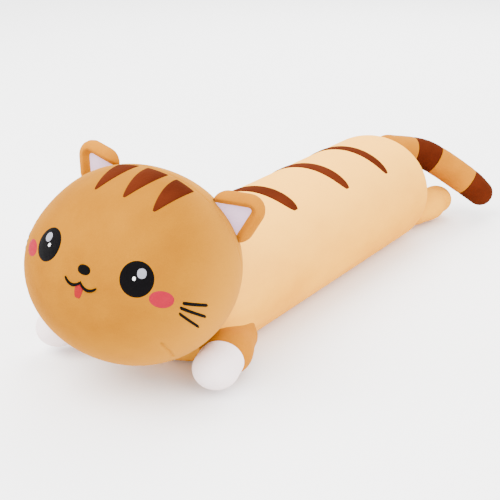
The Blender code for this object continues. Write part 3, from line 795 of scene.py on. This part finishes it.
def head_stripe(lean):
    def place(u, v):
        along = (v + 1) / 2
        lat = HEAD_STRIPE_FROM + along * (HEAD_STRIPE_TO - HEAD_STRIPE_FROM)
        wide = HEAD_STRIPE_HALF * sin(pi / 2 * (STRIPE_POINT + (1 - STRIPE_POINT) * along)) ** 0.8
        side = radians(lean)
        out = (sin(side), -cos(side) * cos(lat), cos(side) * sin(lat))
        return Vector([out[i] * HEAD_HALF[i] for i in range(3)]) + Vector((u * wide, 0, 0))

    return place


for word, lean in HEAD_STRIPES:
    patch("head_stripe_" + word, 16, 60, head_stripe(lean), square_rim, brown, "brown_plush", STRIPE_RISE)
print("three head stripes laid on the skin")

# %% [markdown]
# Now the head is cut at the seam into the face panel and the back panel. The cut edge of each is turned in,
# as the seam allowance is, so the two meet with no gap.

# %% Cutting the head into its panels
SEAM_ALLOWANCE = 0.0030
CUT_MERGE = 1e-6


def cut_off(obj, spot, way, keep_before, fill=True):
    """Cut a piece at a plane and keep what lies before it, or else what lies past it."""
    pick(obj, every)
    bpy.ops.mesh.bisect(
        plane_co=spot,
        plane_no=way,
        clear_outer=keep_before,
        clear_inner=not keep_before,
        use_fill=fill,
        threshold=CUT_MERGE,
    )
    leave()


def panel(name, keep_front):
    obj = duplicate(head, name)
    cut_off(obj, seam_spot, seam_way, keep_front, fill=False)
    pick(obj, every)
    bpy.ops.mesh.select_mode(type="EDGE")
    bpy.ops.mesh.region_to_loop()
    bpy.ops.mesh.extrude_edges_move()
    bpy.ops.transform.resize(value=[1 - SEAM_ALLOWANCE / HEAD_HALF[0]] * 3, center_override=seam_spot)
    leave()
    return obj


face_panel = panel("head_face_panel_cover", True)
back_panel = panel("head_back_panel_cover", False)
bpy.data.objects.remove(head)
complete(face_panel, tan, "tan_plush", "head", "head_face_panel", "head_stuffing")
complete(back_panel, tan, "tan_plush", "head", "head_back_panel")
print("head panels:", len(face_panel.data.polygons), "and", len(back_panel.data.polygons), "faces")

# %% [markdown]
# ## The body
# The body is one long tube of peach plush with round ends, stuffed until it is nearly round, and flat only
# where it rests. Its front end is dished, because the head is sewn into it. It is a sausage, drawn out to
# its length, pressed flat underneath and pushed back behind the head.

# %% The body's shape
BODY_HALF_WIDTH = 0.0930
BODY_HALF_HEIGHT = 0.0865
BODY_AXIS = 0.0725
BODY_FRONT = -0.140
BODY_REAR = 0.500
BODY_END = 0.075
BODY_SWELL = 0.0025
BODY_MERGE = 0.0006
FLOOR_TURN = 0.005
SMALL_FLOOR_TURN = 0.001
HEAD_GAP = 0.0012


def rest_on_floor(where, turn):
    """Points near or under the floor are pressed up onto it, with a soft turn at the edge."""
    z = where[:, 2]
    where[:, 2] = (z + np.sqrt(z * z + turn * turn)) / 2
    return where


def lift_to_floor(obj):
    """No point of a piece may lie under the floor."""
    where = points(obj)
    where[:, 2] = np.maximum(where[:, 2], 0.0)
    move_to(obj, where)


def behind_head(where, gap):
    """Points inside the head move straight back until they are out of it. It also says which ones moved."""
    inverse = np.array(HEAD_MATRIX.inverted())
    half = HEAD_HALF + gap
    local = through(inverse, where) / half
    way = inverse[:3, :3] @ np.array([0, 1, 0]) / half
    along = (local * way).sum(1)
    inside = 1 - (local**2).sum(1)
    length = way @ way
    push = (-along + np.sqrt(np.maximum(along**2 + length * inside, 0))) / length
    moved = inside > 0
    where[moved, 1] += push[moved]
    return where, moved


def body_shape(unit, shrink):
    y = unit[:, 1]
    front = BODY_FRONT + BODY_END
    rear = BODY_REAR - BODY_END
    long = np.where(y < 0, front + y * (BODY_END - shrink), front + y * (rear - front))
    long = np.where(y > 1, rear + (y - 1) * (BODY_END - shrink), long)
    x = unit[:, 0] * (BODY_HALF_WIDTH - shrink)
    z = BODY_AXIS + unit[:, 2] * (BODY_HALF_HEIGHT - shrink)
    return np.stack([x, long, z], 1)


body = sausage("body_cover", 31, 110)
shape = rest_on_floor(body_shape(points(body), BODY_SWELL), FLOOR_TURN)
shape, dished = behind_head(shape, HEAD_GAP)
move_to(body, shape)
stuff(body, BODY_SWELL * SWELL_LIMIT, dished)
lift_to_floor(body)
move_to(body, rest_on_floor(points(body), SMALL_FLOOR_TURN))
only(body)
bpy.ops.object.mode_set(mode="EDIT")
bpy.ops.mesh.select_all(action="SELECT")
bpy.ops.mesh.remove_doubles(threshold=BODY_MERGE)
leave()
refine(body)
print("body:", len(body.data.polygons), "faces")

# %% [markdown]
# A tube like this is sewn from an upper panel and a belly panel, so a long seam runs low down each side. It
# shows as a faint valley.

# %% The body's long seams
BODY_SEAM_TURN = 121
BODY_SEAM_DEPTH = 0.0011
BODY_SEAM_WIDTH = 0.0030

where = points(body)
aside, above = abs(where[:, 0]) / BODY_HALF_WIDTH, (where[:, 2] - BODY_AXIS) / BODY_HALF_HEIGHT
turn = np.degrees(np.arctan2(aside, above))
valley(body, (turn - BODY_SEAM_TURN) * radians(1) * BODY_HALF_WIDTH, BODY_SEAM_DEPTH, BODY_SEAM_WIDTH)
print("long seams", BODY_SEAM_DEPTH * 1000, "mm deep")

# %% [markdown]
# ## Arms and hind legs
# Each limb is a short stuffed sleeve with a round end panel: white on the front paws, the body's peach
# behind. One sausage makes the limb. It is stuffed with the wrist seam held, cut there, and its two parts
# close on each other.

# %% A limb
ARMS = dict(
    roots={"left": (0.073, -0.061, 0.0325), "right": (-0.084, -0.078, 0.0325)},
    length=0.082,
    radius=0.0270,
    end=0.0280,
    cap=0.024,
    splay={"left": 18, "right": 29},
    way=-1,
)
LEGS = dict(
    roots={"left": (0.046, 0.490, 0.0275), "right": (-0.046, 0.490, 0.0275)},
    length=0.072,
    radius=0.0260,
    end=0.0265,
    cap=0.012,
    splay={"left": 5, "right": 5},
    way=1,
)
LIMB_SWELL = 0.0012
WRIST_DEPTH = 0.0016
WRIST_WIDTH = 0.0022
WRIST_HOLD = 0.02  # the share of a limb's length, either side of its seam, that the thread holds still
FLOOR_GAP = 0.0025
LIMB_FLOOR_TURN = 0.003
LIMB_FLATNESS = 0.88
SLEEVE_FULLNESS = 0.17
JOIN_REACH = 0.12


def limb_matrix(limb, word, side):
    """The frame of a limb: +Z runs from its root to the middle of its round end."""
    root = Vector(limb["roots"][word])
    drop = limb["end"] + FLOOR_GAP - root.z
    flat = sqrt(limb["length"] ** 2 - drop**2)
    angle = radians(limb["splay"][word])
    way = Vector((sin(angle) * side * flat, limb["way"] * cos(angle) * flat, drop))
    return Matrix.Translation(root) @ way.normalized().to_track_quat("Z", "Y").to_matrix().to_4x4()


def make_limb(name, limb, matrix):
    obj = sausage(name, 17, 26)
    x, y, z = points(obj).T
    shrink = LIMB_SWELL
    long = np.where(y < 0, y * limb["radius"], y * limb["length"])
    long = np.where(y > 1, limb["length"] + (y - 1) * (limb["end"] - shrink), long)
    share = np.clip(y, 0, 1)
    radius = limb["radius"] * (1 - share) + limb["end"] * share - shrink
    seam = limb["length"] - limb["cap"]
    full = 1 + SLEEVE_FULLNESS * np.sin(pi * np.clip(long / seam, 0, 1) ** 1.8)
    local = np.stack([x * radius * full, -z * radius * full, long], 1)
    where = through(matrix, local)
    rest = matrix.translation.z
    where[:, 2] = rest + (where[:, 2] - rest) * LIMB_FLATNESS
    where[:, 2] = np.maximum(where[:, 2], 0.0)
    move_to(obj, rest_on_floor(where, LIMB_FLOOR_TURN))
    stuff(obj, LIMB_SWELL * LIMB_SWELL_LIMIT, abs(local[:, 2] - seam) < limb["length"] * WRIST_HOLD)
    lift_to_floor(obj)
    refine(obj)
    spot = matrix @ Vector((0, 0, seam))
    way = matrix.to_3x3() @ Vector((0, 0, 1))
    sew_ring(obj, spot, way, WRIST_DEPTH, WRIST_WIDTH)
    return obj, spot, way


def flare(obj, skin, height, width, near=None):
    """Where one stuffed piece is sewn to another, its cloth rises a little to meet it."""
    where, ways = points(obj), outward(obj)
    for i, (spot, way) in enumerate(zip(where, ways)):
        if near is not None and (Vector(spot) - near).length > JOIN_REACH:
            continue
        hit, normal, _face, far = skin.find_nearest(Vector(spot), width)
        if hit is None:
            continue
        if (Vector(spot) - hit).dot(normal) < 0:
            far = 0.0
        where[i] = spot + way * height * (1 - far / width) ** 2
    move_to(obj, where)


limbs = {}
for kind, limb in (("arm", ARMS), ("leg", LEGS)):
    for word, side in (("left", 1), ("right", -1)):
        limbs[kind, word] = make_limb(f"{kind}_{word}_cover", limb, limb_matrix(limb, word, side))
print("limbs:", ", ".join(limb[0].name for limb in limbs.values()))

# %% [markdown]
# Where a limb meets the body, both cloths are drawn up by the seam, so the join is a soft hollow and not a
# sharp corner. Each point near the join is raised, most where the two skins meet.

# %% Sewing the limbs on
JOIN_HEIGHT = 0.002
JOIN_WIDTH = 0.007

body_skin = skin_of(body)
limb_skins = {key: skin_of(limb[0]) for key, limb in limbs.items()}
for (kind, word), (obj, spot, _way) in limbs.items():
    flare(obj, body_skin, JOIN_HEIGHT, JOIN_WIDTH)
    flare(body, limb_skins[kind, word], JOIN_HEIGHT, JOIN_WIDTH, spot)
    lift_to_floor(obj)
lift_to_floor(body)
print("joins raised by up to", JOIN_HEIGHT * 1000, "mm")

# %% Cutting each limb at its seam
LIMB_PARTS = {
    "arm": ("arm_sleeve", "paw", orange, white, "orange_plush", "white_plush"),
    "leg": ("leg_sleeve", "foot", peach, peach, "peach_plush", "peach_plush"),
}


for (kind, word), (obj, spot, way) in limbs.items():
    upper, lower, upper_cloth, lower_cloth, upper_slot, lower_slot = LIMB_PARTS[kind]
    body_name = f"{kind}_{word}"
    sleeve = duplicate(obj, f"{upper}_{word}_cover")
    cut_off(sleeve, spot, way, True)
    end = duplicate(obj, f"{lower}_{word}_cover")
    cut_off(end, spot, way, False)
    complete(sleeve, upper_cloth, upper_slot, body_name, f"{upper}_{word}", f"{kind}_stuffing_{word}")
    complete(end, lower_cloth, lower_slot, body_name, f"{lower}_{word}")
    bpy.data.objects.remove(obj)
print("limbs cut into sleeves, paws and feet")

# %% [markdown]
# The back has three stripes of brown plush, round at their ends. They are laid on the skin as the head's
# are, but along lines from the body's axis.

# %% Back stripes
BEND = ("torso_front", "torso_rear", (0, 0.125, BODY_AXIS), (0, 0.275, BODY_AXIS))
STRIPE_BLUNTNESS = 3.2
BACK_STRIPES = (("front", 0.106, 0.0150, 41), ("middle", 0.235, 0.0132, 46), ("rear", 0.3435, 0.0112, 51))

body_skin = skin_of(body)


def back_stripe(y, half, reach):
    """Where a stripe's grid lands: u runs over the back, v along the body."""

    def land(u, v):
        wide = half * max(0.0, 1 - abs(u) ** STRIPE_BLUNTNESS) ** 0.5
        turn = u * radians(reach)
        middle = Vector((0, y + v * wide, BODY_AXIS))
        way = Vector((sin(turn), 0, cos(turn)))
        return on_skin(body_skin, middle, way, crowned(square_rim(u, v), STRIPE_RISE))

    return land


for word, y, half, reach in BACK_STRIPES:
    land = back_stripe(y, half, reach)
    stripe = laid_grid("back_stripe_" + word + "_cover", 90, 14, land, Vector((0, y, BODY_AXIS)))
    complete(stripe, brown, "brown_plush", BEND, "back_stripe_" + word)
nodes = [f"body_{kind}_{end}" for kind in ("cover", "stuffing") for end in ("front", "rear")]
complete(body, peach, "peach_plush", BEND, *nodes)
print("three back stripes, and the body's cover")

# %% [markdown]
# ## The tail
# The tail is a narrow sausage in four bands, orange and brown by turns, that curls round to the cat's left.
# It is drawn as one line with a thickness, made a mesh, and cut across at the seams.

# %% The tail's line
TAIL_STOPS = (
    (0.002, 0.478, 0.1245, 0.0235), (0.027, 0.541, 0.1085, 0.0235), (0.053, 0.563, 0.0915, 0.0235),
    (0.095, 0.587, 0.0585, 0.0230), (0.111, 0.602, 0.0400, 0.0210),
)
TAIL_STEPS = 16
TAIL_END_STEPS = 12
TAIL_SEAM_DEPTH = 0.0004
TAIL_SEAM_REACH = 0.0030
TAIL_MERGE = 0.0002
THINNEST = 1e-4


def smooth_line(stops, steps):
    """Points on a smooth line through the stops, each with its thickness."""
    stops = np.array(stops)
    ends = np.vstack([2 * stops[0] - stops[1], stops, 2 * stops[-1] - stops[-2]])
    line = []
    for a, b, c, d in zip(ends, ends[1:], ends[2:], ends[3:]):
        square = 2 * a - 5 * b + 4 * c - d
        cube = 3 * b - a - 3 * c + d
        for t in np.arange(steps) / steps:
            line.append(0.5 * (2 * b + (c - a) * t + square * t**2 + cube * t**3))
    return np.array([*line, stops[-1]])


def round_end(end, before):
    """The round end past a line's end, given the point before it. Each point is a place and a thickness."""
    way = (end[:3] - before[:3]) / np.linalg.norm(end[:3] - before[:3])
    turns = np.linspace(0, pi / 2, TAIL_END_STEPS + 1)[1:]
    return [[*(end[:3] + way * end[3] * sin(t)), max(end[3] * cos(t), THINNEST)] for t in turns]


line = smooth_line(TAIL_STOPS, TAIL_STEPS)
line = [*reversed(round_end(line[0], line[1])), *line, *round_end(line[-1], line[-2])]
drawn = bpy.data.curves.new("tail_line", "CURVE")
drawn.dimensions = "3D"
drawn.bevel_depth = 1.0
drawn.bevel_resolution = 10
drawn.use_fill_caps = True
spline = drawn.splines.new("POLY")
spline.points.add(len(line) - 1)
for point, (x, y, z, radius) in zip(spline.points, line):
    point.co = (x, y, z, 1)
    point.radius = radius
tail = bpy.data.objects.new("tail_line", drawn)
bpy.context.scene.collection.objects.link(tail)
only(tail)
bpy.ops.object.convert(target="MESH")
tail = bpy.context.object
bpy.ops.object.mode_set(mode="EDIT")
bpy.ops.mesh.select_all(action="SELECT")
bpy.ops.mesh.remove_doubles(threshold=TAIL_MERGE)
bpy.ops.mesh.normals_make_consistent(inside=False)
leave()
refine(tail)
print("tail:", len(tail.data.polygons), "faces")

# %% Cutting the tail into bands
TAIL_BANDS = (
    ("base", orange, "orange_plush"),
    ("dark_band", brown, "brown_plush"),
    ("middle", orange, "orange_plush"),
    ("tip", brown, "brown_plush"),
)
TAIL_GIVE = 0.016
BAND_SHIFT = {1: -0.019, 2: -0.008, 3: -0.002}  # each seam lies a little nearer the body than its bend

stops = [Vector(stop[:3]) for stop in TAIL_STOPS]
ways = [(stops[1] - stops[0]).normalized()]
ways += [(stops[i + 1] - stops[i - 1]).normalized() for i in range(1, 4)]
before = "torso_rear"
for number, (band, cloth, slot_name) in enumerate(TAIL_BANDS):
    obj = duplicate(tail, f"tail_{band}_cover")
    ends = []
    if number > 0:
        ends.append((stops[number] + ways[number] * BAND_SHIFT[number], ways[number], False))
    if number < len(TAIL_BANDS) - 1:
        ends.append((stops[number + 1] + ways[number + 1] * BAND_SHIFT[number + 1], ways[number + 1], True))
    for spot, way, keep_before in ends:
        cut_off(obj, spot, way, keep_before)
        away = (points(obj) - np.array(spot)) @ np.array(way)
        valley(obj, away, TAIL_SEAM_DEPTH, TAIL_SEAM_REACH)
    blend = (before, "tail_" + band, stops[number], stops[number] + ways[number] * TAIL_GIVE)
    complete(obj, cloth, slot_name, blend, "tail_cover_" + band, "tail_stuffing_" + band)
    before = "tail_" + band
bpy.data.objects.remove(tail)
print("tail bands:", ", ".join(band for band, _cloth, _slot in TAIL_BANDS))

# %% [markdown]
# ## The ears
# An ear is a flat stuffed triangle with round corners. Its edge is a thick orange roll, and a pale panel is
# set in front, narrower than the roll, running down to the head. A flattened ball gives the shape: each
# ring of it is fitted to the outline, then the front is pushed in where the panel lies, by how far a point
# is from the edge.

# %% The ear's outline
EAR_SIDE = 52
EAR_BACK = 0.055
EAR_LEAN = radians(14)
EAR_HALF_BASE = 0.046
EAR_HEIGHT = {"left": 0.0610, "right": 0.0550}
EAR_ROOT = 0.012
EAR_CORNER = 0.0185
EAR_HALF_THICK = 0.0095
EAR_ROLL = 0.0150
EAR_MIDDLE = (0.0, 0.012)
EAR_PANEL_LEVEL = 0.0028
EAR_FURTHEST = 0.09
EAR_HALVINGS = 30


def ear_matrix(side):
    """The ear's own frame: X along its base, Y up to its tip, Z out of its inner face."""
    turn = radians(EAR_SIDE) * side
    up = Vector((sin(turn), 0, cos(turn)))
    ring = sqrt(1 - (EAR_BACK / HEAD_HALF[1]) ** 2)
    reach = ring / sqrt((up.x / HEAD_HALF[0]) ** 2 + (up.z / HEAD_HALF[2]) ** 2)
    rise = (up * cos(EAR_LEAN) + Vector((0, sin(EAR_LEAN), 0))).normalized()
    face = (Vector((0, -1, 0)) + rise * rise.y).normalized()
    frame = Matrix((rise.cross(face), rise, face)).transposed().to_4x4()
    return HEAD_MATRIX @ Matrix.Translation(up * reach + Vector((0, EAR_BACK, 0))) @ frame


def edge_distance(where, top, low=-EAR_ROOT):
    """How far inside the ear's rounded outline each point is. A lower base carries its sides further down."""
    half = EAR_HALF_BASE * (top - low) / (top + EAR_ROOT)
    rim = np.array([(-half, low), (half, low), (0.0, top)])
    inside = np.full(len(where), 1e9)
    lines = []
    for a, b in zip(rim, np.roll(rim, -1, axis=0)):
        way = (b - a) / np.linalg.norm(b - a)
        normal = np.array([-way[1], way[0]])
        lines.append((a + normal * EAR_CORNER, way, normal))
        inside = np.minimum(inside, (where - a) @ normal - EAR_CORNER)
    corners = []
    for (a, way, _n), (b, _way, normal) in zip(lines, lines[1:] + lines[:1]):
        corners.append(a + way * (((b - a) @ normal) / (way @ normal)))
    far = np.full(len(where), 1e9)
    for a, b in zip(corners, corners[1:] + corners[:1]):
        share = np.clip(((where - a) @ (b - a)) / ((b - a) @ (b - a)), 0, 1)
        far = np.minimum(far, np.linalg.norm(where - (a + share[:, None] * (b - a)), axis=1))
    return np.where(inside >= 0, EAR_CORNER + far, EAR_CORNER - far)


def outline_reach(turn, top, low=-EAR_ROOT, depth=0.0):
    """From the ear's middle, how far it is each way round to where the edge is a depth away."""
    way = np.stack([np.cos(turn), np.sin(turn)], 1)
    near, far = np.zeros(len(turn)), np.full(len(turn), EAR_FURTHEST)
    for _step in range(EAR_HALVINGS):
        half = (near + far) / 2
        inside = edge_distance(np.array(EAR_MIDDLE) + way * half[:, None], top, low) > depth
        near, far = np.where(inside, half, near), np.where(inside, far, half)
    return near


print("ear reach upwards:", round(float(outline_reach(np.array([pi / 2]), EAR_HEIGHT["left"])[0]), 4))

# %% The ears
EAR_CORNERS_UP = 96
EAR_RINGS = 64
EAR_PANEL_SHARE = 0.5
EAR_PANEL_EDGE = 0.93
EAR_BELOW = -0.060
EAR_FOLD = 0.014
ROLL_TURN = 0.55
BACK_FLATNESS = 0.12


def ear_profile(inside, from_side, front):
    """How high the ear's front or back is at a distance inside its edge and inside its two slanting sides."""
    roll = np.clip(from_side / EAR_ROLL, 0, 1)
    from_top = 1 - np.clip(inside / (EAR_ROLL * ROLL_TURN), 0, 1)
    edge = EAR_HALF_THICK * np.sqrt(np.clip(1 - from_top**2, 0, 1))
    dome = edge * (1 - BACK_FLATNESS * roll)
    step = np.clip((roll - ROLL_TURN) / (1 - ROLL_TURN), 0, 1)
    hollow = (EAR_HALF_THICK - EAR_PANEL_LEVEL) * step * step * (3 - 2 * step)
    return np.where(front, edge - hollow, -dome)


def make_ear(word, side):
    deselect()
    bpy.ops.mesh.primitive_uv_sphere_add(segments=EAR_CORNERS_UP, ring_count=EAR_RINGS, radius=1)
    obj = bpy.context.object
    x, y, z = points(obj).T
    top = EAR_HEIGHT[word]
    turn = np.arctan2(y, x)
    share = 1 - np.degrees(np.arctan2(abs(z), np.hypot(x, y))) / 90
    outer = outline_reach(turn, top)
    inner = np.minimum(outline_reach(turn, top, EAR_BELOW, EAR_ROLL), outer * EAR_PANEL_EDGE)
    past = np.clip((share - EAR_PANEL_SHARE) / (1 - EAR_PANEL_SHARE), 0, 1)
    in_reach = inner * share / EAR_PANEL_SHARE
    reach = np.where(share < EAR_PANEL_SHARE, in_reach, inner + (outer - inner) * past)
    flat = np.array(EAR_MIDDLE) + np.stack([np.cos(turn), np.sin(turn)], 1) * reach[:, None]
    inside, from_side = edge_distance(flat, top), edge_distance(flat, top, EAR_BELOW)
    rim = abs(z) < 1e-6
    high = np.where(rim, 0.0, ear_profile(np.maximum(inside, 0), np.maximum(from_side, 0), z > 0))
    faces = [list(f.vertices) for f in obj.data.polygons]
    in_panel = np.array([z[f].mean() > 0 and share[f].mean() < EAR_PANEL_SHARE for f in faces])
    matrix = ear_matrix(side)
    move_to(obj, through(matrix, np.column_stack([flat, high])))
    pick(obj, every)
    bpy.ops.mesh.normals_make_consistent(inside=False)
    leave()
    finish_with(obj, "SMOOTH", factor=0.5, iterations=2)
    return obj, matrix, in_panel


for word, side in (("left", 1), ("right", -1)):
    ear, matrix, in_panel = make_ear(word, side)
    ear.name = ear.data.name = f"ear_{word}_cover"
    pick(ear, lambda _middles: in_panel)
    bpy.ops.mesh.separate(type="SELECTED")
    leave()
    inner = next(o for o in bpy.context.selected_objects if o is not ear)
    inner.name = inner.data.name = f"ear_{word}_inner_panel"
    root = matrix.translation
    rise = matrix.to_3x3() @ Vector((0, 1, 0))
    fold = ("head", "ear_" + word, root, root + rise * EAR_FOLD)
    complete(ear, orange, "orange_plush", fold, f"ear_cover_{word}", f"ear_stuffing_{word}")
    complete(inner, lilac, "ear_plush", fold, f"ear_inner_panel_{word}")
print("ears with their inner panels")

# %% [markdown]
# ## Last looks
# The panel that closes the body's cover at the neck is hidden between body and head. It keeps its packed
# shape and takes the body's cloth.

# %% What is left
for name in frame["nodes"]:
    node = bpy.data.objects.get(name)
    if node and not node.hide_render:
        print("still the packed solid:", name)
        for slot_place in node.material_slots:
            slot_place.material = peach
